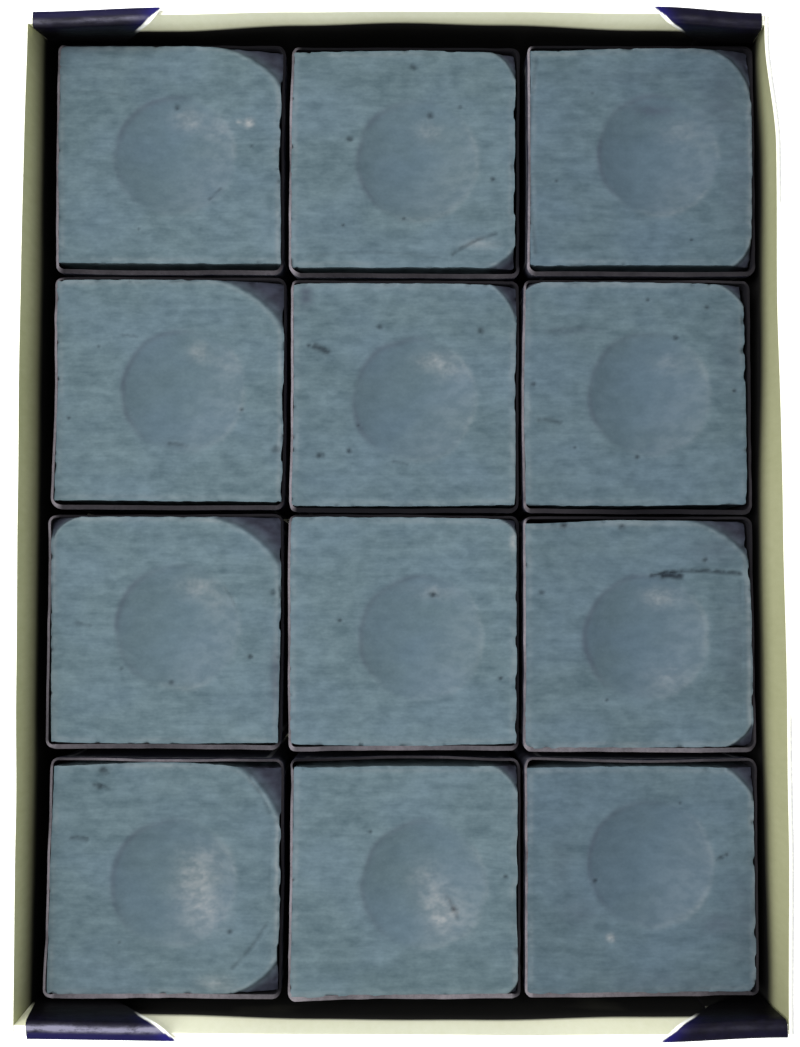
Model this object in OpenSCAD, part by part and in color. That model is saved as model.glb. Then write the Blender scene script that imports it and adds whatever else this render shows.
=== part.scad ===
// Open tray of cue chalk: three columns by four rows of paper-wrapped chalk cubes that lift out.
// Millimetres, +Z up. The origin is the centre of the tray's underside. +X runs along a row of
// three cubes and +Y along a column of four; "far" is +Y and "near" is -Y.

/* [Chalk cube] */
// Width of a wrapped cube along X
cube_x = 22.2; // [20:0.1:23]
// Length of a wrapped cube along Y
cube_y = 22.4; // [20:0.1:23]
// Height of a wrapped cube
cube_h = 22.4; // [18:0.1:24]
// Thickness of the paper glued round the chalk
wrap_t = 0.2; // [0.1:0.05:0.4]
// Radius of the wrap's four upright edges
wrap_r = 0.8; // [0.5:0.1:2]

/* [Cue dimple] */
// Diameter of the dimple where it meets the top face
dimple_d = 11.8; // [8:0.1:14]
// Depth of the dimple at its middle
dimple_depth = 1.6; // [0.8:0.1:3]

/* [Chipped corners] */
// How far down a broken corner reaches
chip_depth = 2.4; // [1:0.1:4]

/* [Layout] */
// Gap between neighbouring cubes along X
gap_x = 0.6; // [0.5:0.1:2]
// Gap between neighbouring cubes along Y
gap_y = 0.9; // [0.6:0.1:2]
// Room between the outer cubes and each long wall
side_room = 1.5; // [1:0.1:4]
// Room between the outer cubes and each end wall
end_room = 1.6; // [1.5:0.1:4]

/* [Tray] */
// Thickness of the folded board
board_t = 0.45; // [0.3:0.05:0.55]
// Height of the walls above the cubes' top faces
wall_above = 4.2; // [2:0.1:10]
// How far the end walls bulge outwards
end_bulge = 0.7; // [0:0.1:1.5]
// How far the long walls bulge outwards
side_bulge = 0.3; // [0:0.1:1.5]

/* [Corner ears and tabs] */
// Length along the rim of the far left ear
ear_far_left = 12.6; // [9:0.1:16]
// Length along the rim of the far right ear
ear_far_right = 11.2; // [9:0.1:16]
// Length along the rim of the near left ear
ear_near_left = 15.1; // [9:0.1:16]
// Length along the rim of the near right ear
ear_near_right = 11.4; // [9:0.1:16]
// How far an ear reaches down inside its end wall
ear_drop = 11; // [4:0.5:11]
// Angle by which an ear's free end leans back towards its corner
ear_mitre = 35; // [0:1:36]
// Length of the hidden glue tab at each end of a long wall
tab_len = 6; // [3:0.5:8]

/* [Hidden] */
cols = 3;
rows = 4;
$fn = 64;

// The whole group of cubes has slid this far from the middle of the tray.
group_shift = [0.4, 0.15];
// Each cube sits this far from its place in the group, row by row from the far end.
seat = [
    [[-0.2, 0], [0.15, -0.15], [0.3, 0.1]],
    [[0.05, 0.1], [-0.05, -0.15], [-0.2, -0.05]],
    [[-0.1, 0.15], [0, 0.15], [-0.2, 0.1]],
    [[0.1, -0.1], [0.1, -0.2], [-0.05, 0]]
];
// Shift of each dimple from the middle of its cube.
dimple_shift = [
    [[0.5, 0], [1, -0.3], [1.8, 0.2]],
    [[1.3, 0.1], [1.1, -0.4], [1.3, -0.2]],
    [[1.2, 0.6], [1.8, -0.5], [0.9, -0.3]],
    [[0.8, -0.4], [2, -0.4], [1, 1.5]]
];
// Broken corners: [side in X, side in Y, length along X, length along Y]. Each is a straight cut
// that takes away the same area of the top face as the rounded break it stands for.
chips = [
    [[[1, 1, 5.6, 3.7]], [[1, 1, 2.8, 3.1], [1, -1, 3.1, 2.5]], [[1, 1, 3.7, 4], [1, -1, 2, 2.6]]],
    [[[1, 1, 5.7, 4.3]], [[1, 1, 2.4, 3.2]], [[1, 1, 2.9, 2.6], [-1, 1, 1.6, 0.9], [1, -1, 1, 0.9]]],
    [[[1, 1, 5.8, 4.2], [-1, 1, 2.2, 1.7]], [[1, 1, 1.7, 1.4]], [[1, 1, 5.5, 3.8], [1, -1, 2.7, 2.1]]],
    [[[1, 1, 4.3, 4.9], [1, -1, 4.6, 3.3]], [[1, 1, 2.4, 2.4], [1, -1, 1.6, 1.4]], [[1, 1, 3.2, 3.2], [1, -1, 1.3, 1.3]]]
];

pitch_x = cube_x + gap_x;
pitch_y = cube_y + gap_y;
floor_t = board_t;
wall_h = floor_t + cube_h + wall_above;
inner_x = cols * pitch_x - gap_x + 2 * side_room;
inner_y = rows * pitch_y - gap_y + 2 * end_room;
outer_x = inner_x + 2 * board_t;
outer_y = inner_y + 2 * board_t;
dimple_r = (pow(dimple_d / 2, 2) + pow(dimple_depth, 2)) / (2 * dimple_depth);

// Film of glue between two layers of board, and an ear's distance from the long wall.
glue_t = 0.03;
ear_inset = 0.4;
// Steps along a wall, along an ear or tab, and up a wall.
wall_steps = 24;
ear_steps = 6;
rise_steps = 5;

function chalk_name(r, c) = str("chalk_r", r + 1, "c", c + 1);
function wrap_name(r, c) = str("wrap_r", r + 1, "c", c + 1);

board_inside = [0.93, 0.94, 0.84];
board_outside = [0.15, 0.15, 0.26];
chalk_colour = [0.41, 0.49, 0.53];
wrap_colour = [0.22, 0.23, 0.31];

// ---- bulging board panels ----------------------------------------------------------------

// Outward bulge of a wall of the given length at u along it and z up it: nothing at the corners
// and at the floor, most a little above half height.
function bulge_at(u, z, length, amount) =
    amount * pow(sin(180 * (u / length + 0.5)), 2) * sin(150 * z / wall_h);

// Rows of [v, z] up one face and down the other, for a panel from v0 to v1 and z0 to z1.
function panel_section(v0, v1, z0, z1) = concat(
    [for (i = [0:rise_steps]) [v0, z0 + (z1 - z0) * i / rise_steps]],
    [for (i = [rise_steps:-1:0]) [v1, z0 + (z1 - z0) * i / rise_steps]]
);

// A section of [v, z] points swept along a wall from u0 to u1, following the wall's bulge. The end
// at u1 leans by mitre degrees, about the height z_ref. u is along the wall and v is outwards.
// Points j and m - 1 - j of the section face each other, which is how the ends are closed.
module swept_board(section, u0, u1, steps, length, amount, mitre = 0, z_ref = 0) {
    m = len(section);
    points = [
        for (i = [0:steps], p = section)
            let (
                end_u = u1 + (u0 < u1 ? -1 : 1) * (z_ref - p[1]) * tan(mitre),
                u = u0 + (end_u - u0) * i / steps
            )
            [u, p[0] + bulge_at(u, p[1], length, amount), p[1]]
    ];
    sides = [
        for (i = [0:steps - 1], j = [0:m - 1])
            let (a = i * m + j, b = i * m + (j + 1) % m, c = b + m, d = a + m)
            each [[a, b, c], [a, c, d]]
    ];
    ends = [
        for (s = [0, steps * m], j = [0:m / 2 - 2])
            let (a = s + j, b = a + 1, c = s + m - 2 - j, d = c + 1)
            each s == 0 ? [[c, b, a], [d, c, a]] : [[a, b, c], [a, c, d]]
    ];
    faces = concat(sides, ends);
    polyhedron(points, u0 < u1 ? faces : [for (f = faces) [f[2], f[1], f[0]]]);
}

// ---- tray --------------------------------------------------------------------------------

module tray_floor() {
    color(board_inside)
        translate([-outer_x / 2, -outer_y / 2, 0])
            cube([outer_x, outer_y, floor_t]);
}

// Long wall on the side x_side (-1 left, 1 right), standing on the floor's edge.
module long_wall(x_side) {
    color(board_inside)
        rotate([0, 0, -90 * x_side])
            translate([0, inner_x / 2, 0])
                swept_board(
                    panel_section(0, board_t, floor_t, wall_h),
                    -outer_y / 2, outer_y / 2, wall_steps, outer_y, side_bulge
                );
}

// End wall at y_side (1 far, -1 near), between the long walls.
module end_wall(y_side) {
    color(board_inside)
        rotate([0, 0, y_side > 0 ? 0 : 180])
            translate([0, inner_y / 2, 0])
                swept_board(
                    panel_section(0, board_t, floor_t, wall_h),
                    -inner_x / 2, inner_x / 2, wall_steps, inner_x, end_bulge
                );
}

// Places the far right corner's ear or tab at the corner given by x_side and y_side.
module at_corner(x_side, y_side) {
    mirror([x_side < 0 ? 1 : 0, 0, 0])
        mirror([0, y_side < 0 ? 1 : 0, 0])
            translate([0, inner_y / 2, 0])
                children();
}

// Tab of the long wall, folded round the corner and glued inside the end wall.
module glue_tab(x_side, y_side) {
    color(board_inside)
        at_corner(x_side, y_side)
            swept_board(
                panel_section(-glue_t - board_t, -glue_t, floor_t, wall_h),
                inner_x / 2 - glue_t, inner_x / 2 - tab_len, ear_steps, inner_x, end_bulge
            );
}

// Ear of the end wall, folded in over the rim and down over the glue tab, with a mitred free end.
module corner_ear(x_side, y_side, ear_len) {
    inner = -2 * (glue_t + board_t);
    back = inner + board_t;
    low = wall_h - ear_drop;
    top = wall_h + board_t;
    inside_rows = [for (i = [0:rise_steps]) [inner, low + (top - low) * i / rise_steps]];
    back_rows = [for (i = [rise_steps:-1:0]) [back, low + (wall_h - low) * i / rise_steps]];
    section = concat(inside_rows, [[board_t, top], [board_t, wall_h]], back_rows);
    color(board_outside)
        at_corner(x_side, y_side)
            swept_board(
                section, inner_x / 2 - ear_inset, inner_x / 2 - ear_len, ear_steps,
                inner_x, end_bulge, ear_mitre, top
            );
}

// ---- chalk cubes -------------------------------------------------------------------------

// Rectangle with round corners, centred.
module round_rect(x, y, r) {
    square([x - 2 * r, y], center = true);
    square([x, y - 2 * r], center = true);
    for (i = [-1, 1], j = [-1, 1])
        translate([i * (x / 2 - r), j * (y / 2 - r)])
            circle(r);
}

// Places a cube's pieces at its row and column, standing on the tray's floor.
module at_cell(r, c) {
    translate([
        (c - (cols - 1) / 2) * pitch_x + group_shift[0] + seat[r][c][0],
        ((rows - 1) / 2 - r) * pitch_y + group_shift[1] + seat[r][c][1],
        floor_t
    ])
        children();
}

// The space inside the wrap, which the chalk fills.
module chalk_block() {
    translate([0, 0, wrap_t])
        linear_extrude(cube_h - wrap_t)
            round_rect(cube_x - 2 * wrap_t, cube_y - 2 * wrap_t, wrap_r - wrap_t);
}

// Wedge that cuts a top corner away, len_x and len_y along the top edges.
module corner_chip(side_x, side_y, len_x, len_y) {
    past = 1;
    grow = 1 + past / len_x + past / len_y + past / chip_depth;
    hx = cube_x / 2 - wrap_t;
    hy = cube_y / 2 - wrap_t;
    translate([side_x * hx, side_y * hy, cube_h])
        mirror([side_x > 0 ? 0 : 1, 0, 0])
            mirror([0, side_y > 0 ? 0 : 1, 0])
                translate([past, past, past])
                    polyhedron(
                        [[0, 0, 0], [-len_x * grow, 0, 0], [0, -len_y * grow, 0], [0, 0, -chip_depth * grow]],
                        [[0, 2, 1], [0, 1, 3], [0, 3, 2], [1, 2, 3]]
                    );
}

// Pressed chalk: a block with a shallow round dimple for the cue's tip and some broken corners.
module chalk(r, c) {
    color(chalk_colour)
        at_cell(r, c)
            difference() {
                chalk_block();
                translate([dimple_shift[r][c][0], dimple_shift[r][c][1], cube_h - dimple_depth + dimple_r])
                    sphere(dimple_r);
                for (chip = chips[r][c])
                    corner_chip(chip[0], chip[1], chip[2], chip[3]);
            }
}

// Paper wrap on the four sides and the underside of a cube.
module wrap(r, c) {
    color(wrap_colour)
        at_cell(r, c)
            difference() {
                linear_extrude(cube_h)
                    round_rect(cube_x, cube_y, wrap_r);
                translate([0, 0, wrap_t])
                    linear_extrude(cube_h)
                        round_rect(cube_x - 2 * wrap_t, cube_y - 2 * wrap_t, wrap_r - wrap_t);
            }
}

tray_floor();
long_wall(-1);  // long_wall_left
long_wall(1);  // long_wall_right
end_wall(1);  // end_wall_far
end_wall(-1);  // end_wall_near
corner_ear(-1, 1, ear_far_left);  // corner_ear_far_left
corner_ear(1, 1, ear_far_right);  // corner_ear_far_right
corner_ear(-1, -1, ear_near_left);  // corner_ear_near_left
corner_ear(1, -1, ear_near_right);  // corner_ear_near_right
glue_tab(-1, 1);  // glue_tab_far_left
glue_tab(1, 1);  // glue_tab_far_right
glue_tab(-1, -1);  // glue_tab_near_left
glue_tab(1, -1);  // glue_tab_near_right
for (r = [0:rows - 1], c = [0:cols - 1]) {
    chalk(r, c);
    wrap(r, c);
}
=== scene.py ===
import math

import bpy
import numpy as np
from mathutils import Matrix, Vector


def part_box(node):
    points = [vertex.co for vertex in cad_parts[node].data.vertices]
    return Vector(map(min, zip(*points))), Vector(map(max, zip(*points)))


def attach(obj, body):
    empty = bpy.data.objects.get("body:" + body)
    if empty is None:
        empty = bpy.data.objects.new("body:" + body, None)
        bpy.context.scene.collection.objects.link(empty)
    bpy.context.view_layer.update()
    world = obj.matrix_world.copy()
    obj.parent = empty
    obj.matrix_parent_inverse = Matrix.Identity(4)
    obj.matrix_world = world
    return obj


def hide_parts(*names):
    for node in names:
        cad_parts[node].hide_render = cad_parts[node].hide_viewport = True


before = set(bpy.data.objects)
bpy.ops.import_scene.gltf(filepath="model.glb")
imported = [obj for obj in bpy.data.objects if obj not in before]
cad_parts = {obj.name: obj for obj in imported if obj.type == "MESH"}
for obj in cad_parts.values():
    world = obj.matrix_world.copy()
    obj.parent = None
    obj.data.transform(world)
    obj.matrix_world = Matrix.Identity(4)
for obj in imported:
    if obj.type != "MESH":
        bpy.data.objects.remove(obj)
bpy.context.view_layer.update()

# Looks for the open tray of cue chalk: twelve pressed chalk blocks in their paper wraps, and the
# worn folding-board tray round them. Blender's units are metres; shapes are worked out in
# millimetres from the frame's own boxes. +X is right, +Y is far, +Z is up.

MM = 0.001

# How bright a white matt surface that faces up is rendered. Painted colours are given as they
# look in that light, so their albedo is divided by it.
LIGHT_LEVEL = 1.9

# ---- the cubes, one by one -----------------------------------------------------------------
# Places are millimetres from the cube's middle, x right and y far.
# dimple: middle of the cue dimple.
# chips: broken corners (side in x, side in y, length along x, length along y, roundness: 1 is
#   a straight cut, 2 an ellipse).
# left, right, near, far: how far each side's paper stands out at the top, how far the chalk is
#   set in, and how pale the paper's cut edge is painted where it catches the light, a painted
#   highlight; each at the side's start, middle and end, or one number where it's the same all along.
# pits: small holes (x, y, radius). cuts: scratches (x0, y0, x1, y1, width, depth). Both get
#   painted shade in their hollows.
# dust_and_sheen: pale patches (x, y, radius x, radius y, strength): loose chalk, and a painted sheen
#   in the dimples. dark_patches, if any: the same, dark: discoloured spots, and painted shade along
#   the right sides of the right-hand cubes.
# cool: how far the chalk leans from grey-green to blue. tone: its brightness.
CUBES = {}
CUBES["r1c1"] = dict(
    dimple=(0.5, 0.0), cool=0.25, tone=1.01,
    chips=[(1, 1, 7.4, 4.9, 1.66)],
    left=((-0.1, 0.1, 0.1), (0.1, -0.1, -0.1), (0.9, 1, 0.8)),
    right=((0.05, 0.05, 0.1), (0, 0.15, -0.05), 0),
    near=((0.45, 0.5, 0.45), (0.43, 0.4, 0.4), (0.16, 0.12, 0.2)),
    far=(0, (0, -0.05, 0.2), 0),
    pits=[(0.6, 5.0, 0.26), (8.0, 1.1, 0.15), (-3.0, -7.2, 0.15)],
    cuts=[(3.9, -4.1, 4.9, -3.1, 0.22, 0.2), (-9.2, 6.5, -4.0, 5.9, 0.16, 0.07)],
    dust_and_sheen=[(1.6, 3.9, 1.3, 0.9, 0.55), (4.6, 3.0, 1.6, 1.0, 0.25), (7.7, 3.4, 0.42, 0.42, 1.6),
          (6.7, 3.5, 0.25, 0.2, 0.9)],
)
CUBES["r1c2"] = dict(
    dimple=(1.1, -0.2), cool=0.2, tone=0.985,
    chips=[(1, 1, 4.1, 4.6, 2.0), (1, -1, 4.4, 3.6, 1.9)],
    left=((0.33, 0.38, 0.22), (-0.33, -0.38, -0.22), (0.8, 0.8, 0.7)),
    right=((0, 0, 0.05), (0.26, 0.26, 0.1), 0),
    near=((0.55, 0.6, 0.6), (0.17, 0.25, 0.25), (0.1, 0.11, 0.15)),
    far=(0, (0.35, 0.15, 0.3), 0),
    pits=[(0.7, 9.2, 0.32), (2.4, 4.5, 0.32), (-5.5, 2.0, 0.3), (5.3, 5.2, 0.2),
          (8.5, -2.0, 0.24), (-6.1, -6.6, 0.18), (-0.2, -5.9, 0.2)],
    cuts=[(4.6, -9.4, 8.8, -7.4, 0.24, 0.2), (-9.4, -9.7, 4.0, -9.9, 0.2, 0.08)],
    dust_and_sheen=[(2.2, 3.0, 1.2, 1.0, 0.35), (7.4, -8.4, 1.5, 0.5, 0.5)],
)
CUBES["r1c3"] = dict(
    dimple=(1.8, 0.2), cool=0.6, tone=0.91,
    chips=[(1, 1, 5.8, 6.2, 2.1), (1, -1, 2.8, 3.6, 1.8)],
    left=((-0.04, -0.07, -0.1), (0.08, 0.1, 0.14), (0.7, 0.85, 0.95)),
    right=((0.1, 0.15, 0.1), (0.05, -0.1, 0), (0.02, 0.02, 0.05)),
    near=(0.6, (0.23, 0.29, 0.26), (0.16, 0.11, 0.11)),
    far=(0, (0.4, 0.1, 0.05), 0),
    pits=[(-4.6, 6.4, 0.16), (-8.2, -2.4, 0.16), (5.0, -8.2, 0.16)],
    cuts=[(-10.2, -9.5, -10.1, 9.8, 0.25, 0.12)],
    dust_and_sheen=[(4.0, 2.8, 1.8, 1.2, 0.2)],
    dark_patches=[(1.6, 4.9, 1.9, 0.45, 0.55), (8.2, 5.6, 2.4, 3.4, 0.3), (9.8, -2.0, 1.5, 5.0, 0.24),
            (0.0, 8.0, 4.0, 1.0, 0.12)],
)
CUBES["r2c1"] = dict(
    dimple=(1.3, 0.0), cool=0.15, tone=1.02,
    chips=[(1, 1, 7.6, 5.7, 1.66)],
    left=((0.28, 0.08, 0.26), (-0.16, -0.08, -0.26), (0.65, 0.8, 1)),
    right=((0.1, 0.2, 0.1), (-0.05, -0.15, -0.05), 0),
    near=(0.3, (0.4, 0.31, 0.28), (0.15, 0.08, 0.13)),
    far=(0.05, (0.05, 0.03, 0.05), (0.03, 0.02, 0.03)),
    pits=[(7.0, -1.7, 0.26), (-9.8, -2.6, 0.2), (-7.0, 4.4, 0.16), (10.4, -5.6, 0.4)],
    cuts=[(0.0, -5.0, 1.6, -5.3, 0.26, 0.18), (-4.6, 5.5, -3.2, 5.3, 0.22, 0.14)],
    dust_and_sheen=[(2.7, 3.9, 0.9, 0.8, 0.6), (5.4, 2.8, 1.4, 1.0, 0.2)],
)
CUBES["r2c2"] = dict(
    dimple=(1.1, -0.5), cool=0.3, tone=0.985,
    chips=[(1, 1, 2.9, 3.9, 1.5)],
    left=((-0.07, -0.2, -0.1), (0.07, 0.22, 0.11), (0.95, 0.9, 0.8)),
    right=((0.1, 0.1, 0.15), (0.04, 0, -0.1), 0.02),
    near=(0.3, (0.15, 0.17, 0.29), (0.01, 0.01, 0.03)),
    far=(0.05, (0.1, 0, 0.15), (0.03, 0.02, 0.04)),
    pits=[(7.6, 6.3, 0.34), (-8.0, -5.9, 0.36), (-5.2, -5.5, 0.28), (-2.3, 6.7, 0.28),
          (-9.2, 4.8, 0.2), (-4.4, -3.0, 0.16)],
    cuts=[(-8.6, 4.7, -7.4, 4.2, 0.42, 0.35), (-0.9, -6.5, 0.4, -6.8, 0.2, 0.14)],
    dust_and_sheen=[(3.1, 3.4, 1.6, 0.8, 0.6), (4.6, 2.4, 1.2, 0.8, 0.3)],
    dark_patches=[(-9.6, 9.6, 0.6, 1.1, 0.8)],
)
CUBES["r2c3"] = dict(
    dimple=(1.3, 0.0), cool=0.45, tone=0.925,
    chips=[(1, 1, 3.9, 3.5, 1.7), (-1, 1, 1.8, 1.0, 1.4), (1, -1, 1.2, 1.1, 1.5)],
    left=((-0.06, 0.04, -0.14), (0.08, -0.04, 0.15), (0.5, 0.65, 0.7)),
    right=(0.05, (0.22, 0.25, 0.42), (0.1, 0.03, 0.03)),
    near=((0.4, 0.4, 0.5), (0.15, 0.14, 0.33), (0.12, 0.01, 0.06)),
    far=(0.05, (0, -0.05, 0.15), (0.02, 0.02, 0.08)),
    pits=[(3.9, 5.6, 0.26), (7.0, 8.6, 0.24), (-10.0, 1.0, 0.26), (9.6, 0.4, 0.24),
          (0.1, -6.1, 0.22), (1.2, 9.3, 0.18), (-6.0, -5.2, 0.16)],
    cuts=[(-9.4, -2.5, -7.4, -2.7, 0.3, 0.2), (-8.5, 6.1, -4.4, 6.6, 0.24, 0.07)],
    dust_and_sheen=[(3.4, 3.2, 1.4, 1.0, 0.22)],
    dark_patches=[(-6.4, 6.2, 2.2, 0.4, 0.28), (9.4, 4.5, 1.6, 4.0, 0.2)],
)
CUBES["r3c1"] = dict(
    dimple=(1.2, 0.4), cool=0.12, tone=1.035,
    chips=[(1, 1, 7.9, 5.8, 1.75), (-1, 1, 3.0, 2.3, 1.8)],
    left=((0.3, 0.24, 0.32), (0.05, -0.14, -0.29), (0.6, 0.55, 0.75)),
    right=((0.1, 0.2, 0.15), (0, -0.15, -0.1), 0),
    near=((0.05, 0.05, 0.1), (0.35, 0.25, 0.35), (0.35, 0.35, 0.33)),
    far=((0.05, 0.1, 0.15), (0, -0.07, -0.1), 0.02),
    pits=[(8.2, -2.4, 0.26), (0.6, -4.9, 0.26), (-4.2, -3.6, 0.18), (10.3, 3.8, 0.3)],
    cuts=[(-8.6, 0.7, -7.3, 0.6, 0.26, 0.16), (5.6, 4.2, 6.6, 2.6, 0.2, 0.1)],
    dust_and_sheen=[(2.9, 4.2, 1.6, 1.0, 0.5), (4.8, 2.6, 1.0, 1.0, 0.2)],
    dark_patches=[(10.6, -4.6, 0.5, 3.4, 0.6)],
)
CUBES["r3c2"] = dict(
    dimple=(1.8, -0.6), cool=0.2, tone=1.03,
    chips=[(1, 1, 2.2, 1.7, 1.6)],
    left=((-0.09, 0.02, 0.04), (0.09, -0.02, -0.04), (0.75, 0.75, 0.6)),
    right=(0.05, 0, 0),
    near=((0.25, 0.1, 0.1), (0.2, 0.05, 0.35), (0.37, 0.5, 0.33)),
    far=((0.15, 0.1, 0.05), (-0.1, -0.05, 0.05), (0, 0.02, 0.03)),
    pits=[(2.9, 3.6, 0.28), (-6.1, 1.1, 0.2), (9.4, -4.4, 0.2)],
    cuts=[(2.6, 3.7, 3.4, 3.4, 0.2, 0.12)],
    dust_and_sheen=[(3.1, 3.9, 1.9, 0.7, 0.3), (10.6, 8.8, 0.3, 0.8, 0.7)],
)
CUBES["r3c3"] = dict(
    dimple=(0.8, -0.4), cool=0.4, tone=0.925,
    chips=[(1, 1, 7.3, 5.0, 1.68), (1, -1, 3.6, 2.8, 1.7)],
    left=((-0.03, -0.12, -0.08), (0.03, 0.13, 0.08), (0.55, 0.7, 0.75)),
    right=((0.2, 0.15, 0.05), (-0.15, -0.1, 0.3), (0.1, 0.03, 0.03)),
    near=((0.2, 0.15, 0.15), (-0.05, 0.1, 0.2), (0.8, 0.5, 0.3)),
    far=(0.05, (0.45, 0.1, 0.15), (0.05, 0, 0.03)),
    pits=[(-9.2, 3.9, 0.26), (6.6, 7.1, 0.26), (-3.0, -6.4, 0.16), (-7.0, 10.4, 0.4),
          (-1.4, 10.2, 0.35)],
    cuts=[(1.4, 5.6, 10.0, 5.75, 0.26, 0.3), (2.6, 5.55, 4.2, 5.5, 0.42, 0.5)],
    dust_and_sheen=[(2.4, 3.4, 1.6, 0.9, 0.5), (3.0, -4.4, 1.6, 1.0, 0.25)],
    dark_patches=[(9.6, -1.0, 1.4, 5.0, 0.22), (7.8, 8.0, 3.0, 1.4, 0.25)],
)
CUBES["r4c1"] = dict(
    dimple=(0.9, -0.4), cool=0.15, tone=1.01,
    chips=[(1, 1, 5.4, 6.1, 1.5), (1, -1, 5.9, 4.2, 1.6)],
    left=((0.3, 0.11, -0.05), (-0.2, -0.07, 0.15), (0.8, 1, 0.55)),
    right=((0.05, 0.2, 0.15), (0.1, -0.15, -0.1), (0, 0, 0.05)),
    near=((0.05, -0.05, 0.05), (0.1, 0.15, 0.3), (0.42, 0.66, 0.36)),
    far=((0.3, 0.1, 0.2), (0.35, -0.05, 0.6), (0.38, 0.5, 0.2)),
    pits=[(6.3, -5.0, 0.28), (-5.9, 10.2, 0.5), (-6.3, 8.7, 0.3), (-4.2, -6.0, 0.16)],
    cuts=[(-8.9, 3.8, -7.5, 3.7, 0.3, 0.22), (8.0, 9.6, 10.0, 6.2, 0.22, 0.14),
          (9.8, -4.2, 6.6, -8.4, 0.26, 0.14), (-6.8, 8.9, -5.4, 8.5, 0.24, 0.2)],
    dust_and_sheen=[(2.7, -1.4, 1.8, 2.7, 0.6), (4.2, -3.4, 1.7, 1.5, 0.34), (5.0, -9.8, 1.6, 0.7, 0.5),
          (3.6, 1.2, 2.2, 1.8, 0.3)],
)
CUBES["r4c2"] = dict(
    dimple=(2.0, -0.4), cool=0.12, tone=1.03,
    chips=[(1, 1, 2.9, 2.9, 1.5), (1, -1, 1.9, 1.7, 1.5)],
    left=((-0.12, -0.28, -0.3), (0.14, 0.3, 0.33), (0.7, 0.8, 0.55)),
    right=(0.05, (0, 0, 0.05), (0.05, 0.02, 0.02)),
    near=((0.15, -0.12, -0.25), (-0.05, 0.2, 0.35), (0.76, 0.58, 0.5)),
    far=((0.3, 0.6, 0.4), (0.33, 0.15, 0.2), (0.01, 0.1, 0.18)),
    pits=[(-3.2, 4.6, 0.18), (4.9, -2.9, 0.3), (9.8, 0.4, 0.24)],
    cuts=[(4.2, -1.8, 5.2, -3.6, 0.24, 0.16)],
    dust_and_sheen=[(3.6, -2.6, 1.6, 1.6, 0.7), (2.2, -0.2, 1.6, 1.6, 0.35), (3.6, -4.4, 1.1, 0.9, 0.6),
          (5.6, -3.6, 1.4, 1.6, 0.2)],
)
CUBES["r4c3"] = dict(
    dimple=(1.0, 1.4), cool=0.6, tone=0.905,
    chips=[(1, 1, 4.0, 3.9, 1.5), (1, -1, 1.6, 1.6, 1.6)],
    left=((-0.05, -0.04, -0.03), (0.05, 0.04, 0.03), (0.75, 0.8, 0.6)),
    right=(0.1, (0, 0.05, 0.05), (0.1, 0.05, 0.05)),
    near=((-0.05, -0.2, -0.35), (0.1, 0.3, 0.5), (0.58, 0.42, 0.12)),
    far=((0.25, 0.05, 0.3), (0.5, 0.28, 0.5), (0.18, 0.25, 0.15)),
    pits=[(7.7, 2.0, 0.22), (8.3, 2.3, 0.2), (-4.3, -0.2, 0.22), (3.8, 7.2, 0.16)],
    cuts=[(7.3, 1.8, 8.5, 2.4, 0.18, 0.12)],
    dust_and_sheen=[(-2.9, -5.5, 0.36, 0.34, 1.2)],
    dark_patches=[(7.6, -4.2, 1.9, 0.9, 0.45), (-5.8, -3.0, 1.8, 1.2, 0.22), (-7.6, 2.0, 1.0, 2.6, 0.14),
            (9.8, -4.0, 1.5, 4.5, 0.3), (2.0, -9.6, 6.0, 1.0, 0.2)],
)

# Which way each side of a cube or of the tray faces.
SIDES = dict(left=(-1, 0), right=(1, 0), near=(0, -1), far=(0, 1))

# ---- colours and nodes ---------------------------------------------------------------------


def linear(r, g, b):
    """A colour (0 to 255 a channel) as linear light: a pale surface's own albedo."""
    def channel(v):
        v = v / 255
        return v / 12.92 if v <= 0.04045 else ((v + 0.055) / 1.055) ** 2.4
    return channel(r), channel(g), channel(b), 1.0


def paint(r, g, b, light=LIGHT_LEVEL):
    """The albedo that looks like this colour where the light is full."""
    red, green, blue, _ = linear(r, g, b)
    return red / light, green / light, blue / light, 1.0


LOW_SHADE = paint(9, 8, 11)     # painted shade, near black, on the board below the cubes' tops


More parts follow.
